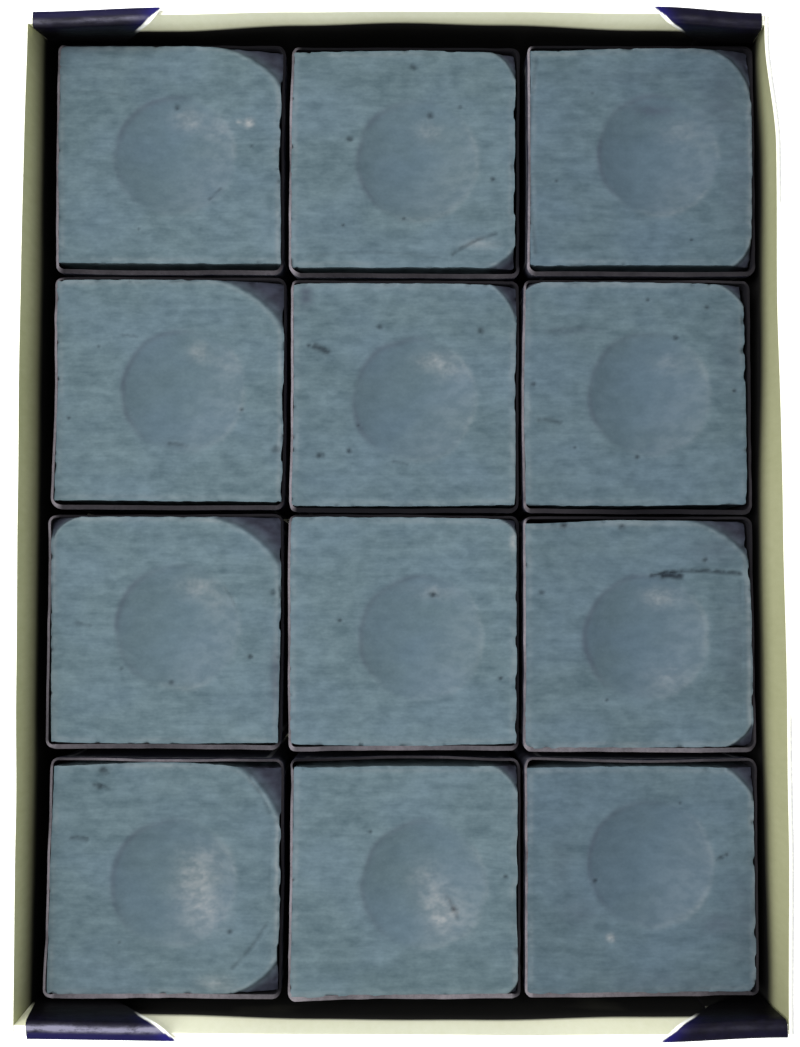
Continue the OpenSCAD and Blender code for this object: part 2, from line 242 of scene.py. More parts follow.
class Nodes:
    """The node tree of a material or the world, with one short call for each kind of node."""

    def __init__(self, owner):
        owner.use_nodes = True
        self.owner = owner
        self.tree = owner.node_tree

    def add(self, kind, **settings):
        node = self.tree.nodes.new(kind)
        for key, value in settings.items():
            setattr(node, key, value)
        return node

    def link(self, output, socket):
        self.tree.links.new(output, socket)

    def feed(self, socket, value):
        """A number, a colour or another node's output goes into a socket."""
        if hasattr(value, "is_output"):
            self.link(value, socket)
        else:
            socket.default_value = value

    def place(self, scale):
        """Object coordinates, stretched. A scale of 1000 is one unit a millimetre."""
        coordinates = self.add("ShaderNodeTexCoord")
        mapping = self.add("ShaderNodeMapping")
        self.link(coordinates.outputs["Object"], mapping.inputs["Vector"])
        mapping.inputs["Scale"].default_value = scale
        return mapping.outputs["Vector"]

    def noise(self, scale, detail=2.0, roughness=0.5, bend=None):
        """Noise in object coordinates. bend is (another noise, metres): it sways the pattern in Y."""
        node = self.add("ShaderNodeTexNoise")
        place = self.place(scale)
        if bend is not None:
            sway = self.add("ShaderNodeCombineXYZ")
            self.link(self.times(bend[0], bend[1] * scale[1]), sway.inputs["Y"])
            moved = self.add("ShaderNodeVectorMath", operation="ADD")
            self.link(place, moved.inputs[0])
            self.link(sway.outputs["Vector"], moved.inputs[1])
            place = moved.outputs["Vector"]
        self.link(place, node.inputs["Vector"])
        node.inputs["Scale"].default_value = 1.0
        node.inputs["Detail"].default_value = detail
        node.inputs["Roughness"].default_value = roughness
        return node.outputs["Fac"]

    def spread(self, value, low, high, to_low=0.0, to_high=1.0):
        """Maps low..high to to_low..to_high, held at the ends."""
        node = self.add("ShaderNodeMapRange")
        node.clamp = True
        self.feed(node.inputs["Value"], value)
        node.inputs["From Min"].default_value = low
        node.inputs["From Max"].default_value = high
        node.inputs["To Min"].default_value = to_low
        node.inputs["To Max"].default_value = to_high
        return node.outputs["Result"]

    def math(self, operation, a, b=0.0):
        node = self.add("ShaderNodeMath", operation=operation)
        self.feed(node.inputs[0], a)
        self.feed(node.inputs[1], b)
        return node.outputs[0]

    def times(self, a, b):
        return self.math("MULTIPLY", a, b)

    def plus(self, a, b):
        return self.math("ADD", a, b)

    def swing(self, noise, size):
        """Noise as a value that swings about zero."""
        return self.times(self.math("SUBTRACT", noise, 0.5), size)

    def mix(self, factor, a, b, blend="MIX"):
        node = self.add("ShaderNodeMix", data_type="RGBA", blend_type=blend)
        self.feed(node.inputs["Factor"], factor)
        self.feed(node.inputs["A"], a)
        self.feed(node.inputs["B"], b)
        return node.outputs["Result"]

    def cover(self, under, mask, strength, colour):
        """A colour laid over another where the mask, from 0 to 1, shows it."""
        return self.mix(self.spread(mask, 0, 1, 0, strength), under, colour)

    def attribute(self, name):
        return self.add("ShaderNodeAttribute", attribute_name=name).outputs["Fac"]

    def bump(self, height, distance, strength=1.0):
        node = self.add("ShaderNodeBump")
        node.inputs["Distance"].default_value = distance
        node.inputs["Strength"].default_value = strength
        self.link(height, node.inputs["Height"])
        return node.outputs["Normal"]

    def finish(self, colour, roughness, normal=None, specular=0.3):
        sockets = self.tree.nodes["Principled BSDF"].inputs
        self.feed(sockets["Base Color"], colour)
        self.feed(sockets["Roughness"], roughness)
        sockets["Specular IOR Level"].default_value = specular
        if normal is not None:
            self.link(normal, sockets["Normal"])
        return self.owner


def new_material(name):
    return Nodes(bpy.data.materials.new(name))


def chalk_material():
    """Dry pressed chalk: saw grain along X, mottling, a pale dusting, pits and broken corners, with
    painted light: painted shade in its hollows and on the dimple's left lip, and painted highlight and
    sheen on the dimple's right side and along the edges.
    """
    n = new_material("pressed_chalk")
    warp = n.noise((160, 160, 160), detail=1.0)
    grain = n.noise((420, 2700, 420), detail=3.0, roughness=0.6, bend=(warp, 0.0006))
    long_grain = n.noise((110, 1100, 110), detail=2.0, roughness=0.5, bend=(warp, 0.0009))
    mottle = n.noise((720, 1150, 720), detail=2.5, roughness=0.5, bend=(warp, 0.0004))
    cloud = n.noise((140, 190, 140), detail=2.0)
    speckle = n.noise((3600, 3900, 3600), detail=2.0)
    smooth = n.attribute("smooth")
    grain_part = n.swing(grain, n.spread(smooth, 0, 1, 0.26, 0.04))
    long_part = n.swing(long_grain, n.spread(smooth, 0, 1, 0.32, 0.05))
    mottle_part = n.swing(mottle, n.spread(smooth, 0, 1, 0.72, 0.4))
    speckle_part = n.swing(speckle, 0.16)
    lines = n.plus(n.plus(grain_part, long_part), n.swing(cloud, 0.35))
    value = n.plus(lines, n.plus(mottle_part, speckle_part))
    shade = n.spread(value, -0.3, 0.3)
    green_grey = n.mix(shade, paint(82, 103, 112), paint(122, 143, 151))
    blue_grey = n.mix(shade, paint(76, 97, 111), paint(112, 134, 149))
    worn = n.plus(n.attribute("cool"), n.spread(smooth, 0, 1, 0, 0.3))
    lean = n.plus(worn, n.spread(cloud, 0.35, 0.65, -0.3, 0.3))
    colour = n.mix(n.spread(lean, 0, 1), green_grey, blue_grey)
    toned = n.mix(1.0, colour, n.attribute("tone"), blend="MULTIPLY")
    # The pale mask: loose chalk, a painted sheen in the dimples, and painted highlight on the dimple's
    # right side and along the edges.
    pale_dust_and_sheen = n.times(n.attribute("pale"), n.spread(mottle, 0.4, 0.6, 0.55, 1.15))
    with_dust_and_sheen = n.mix(n.spread(pale_dust_and_sheen, 0, 2.0), toned, paint(188, 190, 190))
    # Painted shade on the dimple's left lip, and the dark patches.
    with_stain_and_shade = n.cover(with_dust_and_sheen, n.attribute("stain_and_shade"), 0.85, paint(70, 74, 92))
    # Painted shade in the hollows: pits, scratches, cracks and nicks.
    dark = n.cover(with_stain_and_shade, n.attribute("dark"), 0.85, paint(34, 42, 52))
    broken = n.mix(n.spread(mottle, 0.35, 0.65), paint(50, 52, 65), paint(67, 71, 86))
    final = n.cover(dark, n.attribute("broken"), 1.0, broken)
    height = n.plus(n.times(grain_part, 1.2), speckle_part)
    normal = n.bump(height, 0.00006, 0.9)
    return n.finish(final, n.spread(mottle, 0.3, 0.7, 0.88, 0.98), normal, specular=0.12)


def paper_material(name, dark, light, roughness):
    """Thin paper with a soft fibre grain."""
    n = new_material(name)
    fibre = n.noise((900, 900, 2600), detail=4.0, roughness=0.65)
    blotch = n.noise((180, 180, 180), detail=2.0)
    shade = n.spread(n.plus(fibre, n.times(blotch, 0.6)), 0.55, 1.05)
    normal = n.bump(fibre, 0.00004, 0.6)
    return n.finish(n.mix(shade, dark, light), roughness, normal, specular=0.2)


def print_material():
    """Printed outside of a chalk's wrap: dark paper with a thin pale rule framing each side."""
    n = new_material("wrap_print")
    fibre = n.noise((1100, 1100, 1100), detail=4.0, roughness=0.65)
    wear = n.noise((420, 420, 420), detail=4.0, roughness=0.7)
    ink = n.mix(n.spread(fibre, 0.3, 0.7), paint(28, 30, 52), paint(42, 45, 74))
    split = n.add("ShaderNodeSeparateXYZ")
    n.link(n.add("ShaderNodeTexCoord").outputs["Generated"], split.inputs["Vector"])
    across = [n.math("ABSOLUTE", n.math("SUBTRACT", split.outputs[axis], 0.5)) for axis in "XYZ"]
    flat = n.math("MAXIMUM", across[0], across[1])
    run = n.math("MINIMUM", across[0], across[1])
    frame_line = n.math("MAXIMUM", run, across[2])
    rule = n.math("ABSOLUTE", n.math("SUBTRACT", frame_line, 0.425))
    on_side = n.spread(flat, 0.475, 0.485)
    ruled = n.times(n.spread(rule, 0.006, 0.012, 1.0, 0.0), on_side)
    shown = n.times(ruled, n.spread(wear, 0.35, 0.5, 0.5, 1.0))
    printed = n.mix(shown, ink, paint(178, 182, 188))
    rubbed = n.times(n.attribute("rubbed"), n.spread(wear, 0.42, 0.62))
    final = n.cover(printed, rubbed, 0.7, paint(120, 122, 134))
    return n.finish(final, 0.62, n.bump(fibre, 0.00003, 0.5), specular=0.3)


def cream_material():
    """Uncoated cream inside of the folding board, with painted shade on it: olive, dulled to brown where
    the olive mask runs past 1, and near black low down, below the cubes' tops."""
    n = new_material("board_cream")
    fibre = n.noise((1400, 1400, 500), detail=5.0, roughness=0.7)
    blotch = n.noise((70, 70, 110), detail=3.0)
    shade = n.spread(n.plus(fibre, blotch), 0.7, 1.3)
    base = n.mix(shade, linear(238, 238, 208), linear(246, 246, 222))
    olive = n.mix(shade, linear(172, 175, 132), linear(188, 190, 150))
    # Painted shade: past 1 the olive mask dulls the olive to brown, on the right long wall.
    dull = n.mix(n.spread(n.attribute("olive"), 1.0, 2.0), olive, linear(110, 108, 84))
    turned = n.cover(base, n.attribute("olive"), 1.0, dull)
    # Painted shade: near black low down, below the cubes' tops, where the walls face the crevices beside
    # the cubes.
    low_shade = n.times(n.attribute("low_shade"), n.spread(blotch, 0.3, 0.7, 0.98, 1.06))
    shaded_low = n.cover(turned, low_shade, 0.995, paint(7, 6, 9))
    return n.finish(shaded_low, 0.82, n.bump(fibre, 0.00005, 0.5), specular=0.2)


def white_material():
    """Coated outside of the long walls and floor, off-white with plain blue-grey rules."""
    n = new_material("board_white")
    fibre = n.noise((700, 700, 700), detail=4.0, roughness=0.6)
    base = n.mix(n.spread(fibre, 0.3, 0.7), linear(146, 147, 145), linear(157, 158, 154))
    rubbed = n.noise((260, 260, 260), detail=5.0, roughness=0.7)
    rule = n.times(n.attribute("rule"), n.spread(rubbed, 0.34, 0.48, 0.5, 1.0))
    final = n.mix(n.spread(rule, 0.3, 0.7, 0, 0.8), base, linear(82, 84, 108))
    return n.finish(final, 0.5, n.bump(fibre, 0.00003, 0.4), specular=0.35)


def navy_material():
    """Navy printed face of the ears and end walls, scuffed pale along its folds and unprinted along an
    ear's free end. On an ear the pale band along the fold is scuffed wear and a painted highlight;
    further down, painted shade darkens the ear, and low down it is painted near black."""
    n = new_material("board_navy")
    fibre = n.noise((1200, 1200, 1200), detail=4.0, roughness=0.65)
    scuff = n.noise((620, 1700, 1700), detail=4.0, roughness=0.7)
    patch = n.noise((240, 400, 400), detail=1.0)
    navy = n.mix(n.spread(fibre, 0.3, 0.7), paint(9, 7, 19), paint(18, 15, 36))
    printed = n.cover(navy, n.attribute("blue"), 0.8, paint(36, 30, 126))
    # Painted shade: the deep mask darkens an ear further down into the tray.
    ink = n.mix(n.attribute("deep"), printed, paint(9, 8, 14))
    scuffed = n.spread(scuff, 0.3, 0.6, 0.1, 1.0)
    rubbed = n.times(scuffed, n.spread(patch, 0.36, 0.56, 0.3, 1.0))
    # On the ears the fold's pale band is scuffed wear and a painted highlight.
    worn = n.times(n.attribute("wear"), rubbed)
    inked = n.cover(ink, worn, 1.0, paint(150, 148, 172))
    bared = n.mix(n.attribute("bare"), inked, linear(236, 236, 228))
    # Painted shade: near black low down on an ear.
    final = n.mix(n.attribute("low_shade"), bared, LOW_SHADE)
    normal = n.bump(n.plus(fibre, scuff), 0.00005, 0.5)
    return n.finish(final, n.spread(scuff, 0.35, 0.65, 0.4, 0.55), normal, specular=0.08)


def edge_material():
    """Fuzzy white cut edge of the board, with a little of the outside's grey ink on it, and painted
    shade, near black, low down.
    """
    n = new_material("board_cut_edge")
    fuzz = n.noise((2600, 2600, 5200), detail=4.0, roughness=0.75)
    core = n.mix(n.spread(fuzz, 0.3, 0.7), linear(226, 226, 208), linear(242, 242, 230))
    ink = n.times(n.attribute("ink"), n.spread(fuzz, 0.35, 0.55, 0.6, 1.0))
    inked = n.mix(ink, core, paint(176, 178, 190))
    colour = n.mix(n.attribute("low_shade"), inked, LOW_SHADE)
    return n.finish(colour, 0.95, n.bump(fuzz, 0.00006, 0.7), specular=0.1)


def wrap_edge_material():
    """Fuzzy cut edge of a wrap: painted highlight where it catches the light, painted shade elsewhere.
    """
    n = new_material("wrap_cut_edge")
    fuzz = n.noise((2600, 2600, 5200), detail=4.0, roughness=0.75)
    pale = n.times(n.attribute("edge_pale"), n.spread(fuzz, 0.3, 0.62, 0.7, 1.1))
    colour = n.mix(n.spread(pale, 0, 1), paint(15, 14, 19), paint(152, 146, 154))
    return n.finish(colour, 0.95, n.bump(fuzz, 0.00006, 0.7), specular=0.1)


FLOOR_GLOW = 0.7


def floor_material():
    """White sheet with a glow of its own, so that no shadow shows on it."""
    n = new_material("studio_floor")
    grain = n.noise((60, 60, 60), detail=2.0)
    sockets = n.tree.nodes["Principled BSDF"].inputs
    sockets["Emission Color"].default_value = (1.0, 1.0, 0.985, 1)
    sockets["Emission Strength"].default_value = FLOOR_GLOW
    return n.finish(n.mix(grain, (0.86, 0.86, 0.84, 1), (0.88, 0.88, 0.86, 1)), 0.9, specular=0.0)


# ---- noise and meshes ----------------------------------------------------------------------


def value_noise(rng, x, y, cell_x, cell_y, span=120.0):
    """Smooth random values from -1 to 1 at points in millimetres, one new value each cell."""
    table = rng.uniform(-1, 1, (int(span / cell_x) + 3, int(span / cell_y) + 3))
    fx = (np.asarray(x, float) + span / 2) / cell_x
    fy = (np.asarray(y, float) + span / 2) / cell_y
    ix = np.clip(np.floor(fx).astype(int), 0, table.shape[0] - 2)
    iy = np.clip(np.floor(fy).astype(int), 0, table.shape[1] - 2)
    tx = fx - ix
    ty = fy - iy
    tx = tx * tx * (3 - 2 * tx)
    ty = ty * ty * (3 - 2 * ty)
    low = table[ix, iy] * (1 - tx) + table[ix + 1, iy] * tx
    high = table[ix, iy + 1] * (1 - tx) + table[ix + 1, iy + 1] * tx
    return low * (1 - ty) + high * ty


def smooth_step(value, low, high):
    t = np.clip((value - low) / (high - low), 0, 1)
    return t * t * (3 - 2 * t)


def grid_faces(rows, columns):
    """The faces of a grid of points, and the loop of points round it."""
    index = np.arange(rows * columns).reshape(rows, columns)
    quads = np.stack([index[:-1, :-1], index[1:, :-1], index[1:, 1:], index[:-1, 1:]], -1)
    loop = np.concatenate([index[:-1, 0], index[-1, :-1], index[:0:-1, -1], index[0, :0:-1]])
    return quads.reshape(-1, 4), loop


def bridge(first, second, shift=0):
    """The faces between two matching loops of points."""
    quads = np.stack([first, np.roll(first, -1), np.roll(second, -1), second], -1)
    return np.roll(quads, shift, axis=1).tolist()


def make_piece(name, points, faces, materials, face_materials, attributes, body, nodes):
    """Builds a mesh from points in millimetres, and hands it to the frame."""
    mesh = bpy.data.meshes.new(name)
    mesh.from_pydata([tuple(p) for p in np.asarray(points) * MM], [], faces)
    for material in materials:
        mesh.materials.append(material)
    mesh.polygons.foreach_set("material_index", np.asarray(face_materials, np.int32))
    mesh.polygons.foreach_set("use_smooth", np.ones(len(faces), bool))
    for key, values in attributes.items():
        layer = mesh.attributes.new(key, "FLOAT", "POINT")
        layer.data.foreach_set("value", np.asarray(values, np.float32))
    mesh.validate()
    mesh.update()
    mesh.set_sharp_from_angle(angle=math.radians(50))
    piece = bpy.data.objects.new(name, mesh)
    bpy.context.scene.collection.objects.link(piece)
    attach(piece, body)
    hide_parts(*nodes)
    return piece


def box_mm(node):
    """Lowest and highest corner of a CAD node, in millimetres."""
    low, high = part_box(node)
    return np.array(low) / MM, np.array(high) / MM


# ---- chalk ---------------------------------------------------------------------------------

DIMPLE_WIDTH = 11.8
DIMPLE_DEPTH = 1.6
DIMPLE_LIP = 0.09        # how softly the dimple's edge turns over
TOP_CELLS = 150          # squares across the top face
TOP_LIMIT = 0.05         # how far a grain may stand over the flat top
SIDE_ROWS = (0.01, 0.03, 0.08, 0.2, 0.5, 1.0)   # shares of the way down a side
BROKEN_ROWS = 3          # rows below the top that a broken corner's colour runs down
SIDE_SLACK = 0.03        # from a block's sides to the box that its CAD block fills
SIDE_LENGTH = 22         # about a side's length, for its noise
BLOCK_CORNER = 0.55      # radius of a block's upright edges
CHALK_SEED = 100


def dimple_drop(distance):
    """Depth of the dimple's ball-shaped hollow, with a soft lip."""
    radius = ((DIMPLE_WIDTH / 2) ** 2 + DIMPLE_DEPTH ** 2) / (2 * DIMPLE_DEPTH)
    ball = np.sqrt(np.maximum(radius ** 2 - distance ** 2, 0)) - (radius - DIMPLE_DEPTH)
    return DIMPLE_LIP * np.logaddexp(0, ball / DIMPLE_LIP)


def chip_reach(x, y, chip, half):
    """Zero on a broken corner's curved edge, growing to 1 at the corner itself."""
    side_x, side_y, along_x, along_y, curve = chip
    u = np.clip((half[0] - side_x * x) / along_x, 0, 1)
    v = np.clip((half[1] - side_y * y) / along_y, 0, 1)
    return (1 - u) ** curve + (1 - v) ** curve - 1


def chalk_top(x, y, cube, half, edge, rng):
    """Heights over the flat top, and the masks that colour it."""
    def noise(cell_x, cell_y, shift=0.0):
        return value_noise(rng, x, y + shift, cell_x, cell_y)

    def patch(px, py, rx, ry):
        return np.exp(-((x - px) / rx) ** 2 - ((y - py) / ry) ** 2)

    swing = noise(9.0, 7.0) * 0.5
    grain = noise(2.2, 0.24, swing) * 0.5 + noise(0.9, 0.18, swing) * 0.5
    broad = noise(5.0, 1.6)
    lumps = noise(0.7, 0.45)
    fine = noise(0.24, 0.2)
    sawn = 0.55 + 0.45 * smooth_step(-x, -6.0, 8.0)
    from_x = x - cube["dimple"][0]
    from_y = y - cube["dimple"][1]
    out = np.hypot(from_x, from_y) + 0.14 * noise(1.8, 1.8)
    inside = smooth_step(DIMPLE_WIDTH / 2 - out, -0.2, 0.4)
    height = -dimple_drop(out) + grain * 0.014 * sawn * (1 - 0.75 * inside) + broad * 0.03
    height += lumps * 0.013 * (1 - 0.6 * inside) + fine * 0.005
    # The dark mask is painted shade in the hollows: pits, scratches, cracks in the pale patches and
    # nicks along the edges.
    dark = np.zeros_like(x)
    pale = np.zeros_like(x)
    stain_and_shade = np.zeros_like(x)
    for px, py, radius in cube["pits"]:
        near = np.exp(-((x - px) ** 2 + ((y - py) * 1.2) ** 2) / (radius * 0.95) ** 2)
        near = np.clip(near * (1 + 0.5 * fine), 0, 1)
        height -= near * radius * 0.8
        dark = np.maximum(dark, near * 0.75)
    for x0, y0, x1, y1, width, depth in cube["cuts"]:
        length = math.hypot(x1 - x0, y1 - y0)
        along = ((x - x0) * (x1 - x0) + (y - y0) * (y1 - y0)) / length ** 2
        bend = 0.04 * length * np.sin(along * math.pi)
        across = ((y - y0) * (x1 - x0) - (x - x0) * (y1 - y0)) / length - bend - fine * 0.06
        beyond = np.maximum(np.maximum(-along, along - 1), 0) * length
        near = np.exp(-(across ** 2 + beyond ** 2) / (width * 0.7) ** 2)
        near = np.clip(near * (1 + 0.5 * lumps + 0.3 * fine), 0, 1)
        height -= near * depth * 0.8
        dark = np.maximum(dark, near * min(1.0, depth * 2.2))
    crackle = smooth_step(np.abs(noise(0.7, 0.8)), 0.0, 0.28)
    # Pale patches: loose chalk, and a painted sheen in the dimples.
    for px, py, rx, ry, strength in cube["dust_and_sheen"]:
        near = patch(px, py, rx, ry) * (0.85 + 0.15 * crackle + 0.35 * fine + 0.35 * lumps)
        pale = pale + near * strength
        height += near * 0.03 * min(strength, 1) * (crackle - 0.5 + lumps)
        dark = np.maximum(dark, np.clip(near * 0.3 * (strength - 0.6) * (1 - crackle), 0, 1))
    # Dark patches: discoloured spots, and painted shade along the right sides of the right-hand cubes.
    for px, py, rx, ry, strength in cube.get("dark_patches", ()):
        near = patch(px, py, rx, ry) * (1 + 0.35 * lumps)
        stain_and_shade = np.maximum(stain_and_shade, near * strength)
    # Painted light on the dimple, as the key from the left falls on it: painted shade on the lip's left
    # side, and painted highlight on the lip and the hollow towards the right.
    lip_line = np.exp(-((out - DIMPLE_WIDTH / 2) / 0.3) ** 2)
    turned = from_x - 0.5 * from_y
    stain_and_shade = np.maximum(stain_and_shade, 0.34 * lip_line * (1 + 0.6 * broad) * smooth_step(-turned, -1.0, 5.0))
    pale = pale + (0.13 * lip_line * (1 + broad) + 0.13 * inside) * smooth_step(turned, -1.0, 5.0)
    broken = np.zeros_like(x)
    for chip in cube["chips"]:
        reach = chip_reach(x, y, chip, half) + 0.015 * lumps
        height -= smooth_step(reach, 0.0, 0.14) * 0.22 + np.clip(reach, 0, 1) * 1.1
        shown = 0.65 * smooth_step(reach, -0.03, 0.1) + 0.35 * smooth_step(reach, 0.02, 0.4)
        broken = np.maximum(broken, shown)
        # Painted highlight: a pale line along the break's edge.
        pale = pale + 0.2 * np.exp(-((reach + 0.05) / 0.05) ** 2) * (1 - broken)
        ring = np.exp(-((reach + 0.2) / 0.03) ** 2) * (0.5 + 0.5 * broad)
        height -= 0.05 * np.clip(ring, 0, 1)
    crumble = np.exp(-edge / 0.14)
    nick = smooth_step(noise(0.8, 0.6), 0.5, 0.9)
    height -= crumble * (0.06 + 0.05 * lumps) + nick * np.exp(-(edge / 0.28) ** 2) * 0.22
    dark = np.maximum(dark, nick * np.exp(-(edge / 0.22) ** 2) * 0.3)
    # Painted highlight: a pale band just inside the top's edges.
    pale = pale + 0.2 * (0.8 + 0.6 * broad) * np.exp(-((edge - 0.34) / 0.26) ** 2) * (1 - broken)
    return height, dict(dark=dark, pale=pale, stain_and_shade=stain_and_shade, broken=broken, smooth=inside)


def along_side(values, share):
    """A side's value at its start, middle and end, smoothed along its length."""
    start, middle, end = np.broadcast_to(values, 3)
    first = start + (middle - start) * smooth_step(share, 0.0, 0.5)
    return np.where(share < 0.5, first, middle + (end - middle) * smooth_step(share, 0.5, 1.0))


def edge_inset(rng, insets, share, ragged):
    """How far an edge of the chalk is set in along its length."""
    def noise(cell):
        return value_noise(rng, share * SIDE_LENGTH, share * 0, cell, 10.0)

    wander = noise(4.0) * 0.03
    chatter = noise(0.7) * 0.03
    bites = smooth_step(noise(1.4), 0.2, 0.8) * 0.14
    return along_side(insets, share) + wander + chatter + ragged * bites


def chalk_block(tag, cube, material, rng):
    """One block: a fine top face, sides down inside the wrap, and an underside."""
    low, high = box_mm(f"chalk_{tag}")
    middle = (low + high) / 2
    half = (high - low) / 2
    count = TOP_CELLS + 1
    share = np.linspace(0, 1, count)
    left = -half[0] + edge_inset(rng, cube["left"][1], share, 0.0)
    right = half[0] - edge_inset(rng, cube["right"][1], share, 1.0)
    near = -half[1] + edge_inset(rng, cube["near"][1], share, 0.2)
    far = half[1] - edge_inset(rng, cube["far"][1], share, 0.3)
    su, sv = np.meshgrid(share, share, indexing="ij")
    x = left[None, :] * (1 - su) + right[None, :] * su
    y = near[:, None] * (1 - sv) + far[:, None] * sv
    over_x = np.abs(x) - (half[0] - BLOCK_CORNER)
    over_y = np.abs(y) - (half[1] - BLOCK_CORNER)
    both = (over_x > 0) & (over_y > 0)
    pull = np.where(both, np.maximum(over_x, over_y) / np.maximum(np.hypot(over_x, over_y), 1e-6), 1)
    x = np.where(both, np.sign(x) * (np.abs(x) - over_x * (1 - pull)), x)
    y = np.where(both, np.sign(y) * (np.abs(y) - over_y * (1 - pull)), y)
    edge = np.minimum(np.minimum(su, 1 - su) * 2 * half[0], np.minimum(sv, 1 - sv) * 2 * half[1])
    height, masks = chalk_top(x, y, cube, half, edge, rng)
    level = high[2] + np.minimum(height, TOP_LIMIT)
    top = np.stack([x + middle[0], y + middle[1], level], -1).reshape(-1, 3)
    quads, ring = grid_faces(count, count)
    points = [top]
    faces = quads.tolist()
    above = ring
    total = len(top)
    held = np.clip(top[ring, :2], low[:2] + SIDE_SLACK, high[:2] - SIDE_SLACK)
    for s in SIDE_ROWS:
        row = top[ring].copy()
        row[:, :2] = held + (row[:, :2] - held) * smooth_step(1 - s, 0.8, 1.0) ** 2
        row[:, 2] = row[:, 2] * (1 - s) + low[2] * s
        points.append(row)
        below = np.arange(total, total + len(ring))
        total += len(ring)
        faces += bridge(below, above, 1)
        above = below
    points.append(np.array([[middle[0], middle[1], low[2]]]))
    faces += [[int(a), total, int(b)] for a, b in zip(above, np.roll(above, -1))]
    side = len(ring) * len(SIDE_ROWS)
    attributes = {k: np.concatenate([v.reshape(-1), np.zeros(side + 1)]) for k, v in masks.items()}
    for k in range(BROKEN_ROWS):
        start = count * count + k * len(ring)
        attributes["broken"][start:start + len(ring)] = masks["broken"].reshape(-1)[ring]
    attributes["cool"] = np.full(total + 1, cube["cool"])
    attributes["tone"] = np.full(total + 1, cube["tone"])
    return make_piece(
        f"chalk_block_{tag}", np.concatenate(points), faces, [material], np.zeros(len(faces)),
        attributes, f"cube_{tag}", [f"chalk_{tag}"],
    )


# ---- paper wraps ---------------------------------------------------------------------------

WRAP_THICKNESS = 0.2
WRAP_CORNER = 0.8
WRAP_LEVELS = (0, 0.015, 0.08, 0.3, 0.55, 0.75, 0.85, 0.91, 0.95, 0.98, 1.0)   # shares of its height
WRAP_STEP = 0.3          # between points round a wrap
WRAP_SEED = 200
CORNER_TURNS = 6         # steps round a corner


def round_ring(half_x, half_y, radius, step):
    """Points and outward normals round a rectangle with round corners, anticlockwise."""
    places, normals = [], []
    for sx, sy, start in ((1, 1, 0), (-1, 1, 90), (-1, -1, 180), (1, -1, 270)):
        for k in range(CORNER_TURNS + 1):
            angle = math.radians(start + 90 * k / CORNER_TURNS)
            normal = np.array([math.cos(angle), math.sin(angle)])
            places.append(np.array([sx * (half_x - radius), sy * (half_y - radius)]) + normal * radius)
            normals.append(normal)
    full_places, full_normals = [], []
    for k, place in enumerate(places):
        following = places[(k + 1) % len(places)]
        gap = np.linalg.norm(following - place)
        parts = int(gap / step) if gap > 3 * step else 1
        for j in range(parts):
            full_places.append(place + (following - place) * j / parts)
            full_normals.append(normals[k])
    return np.array(full_places), np.array(full_normals)


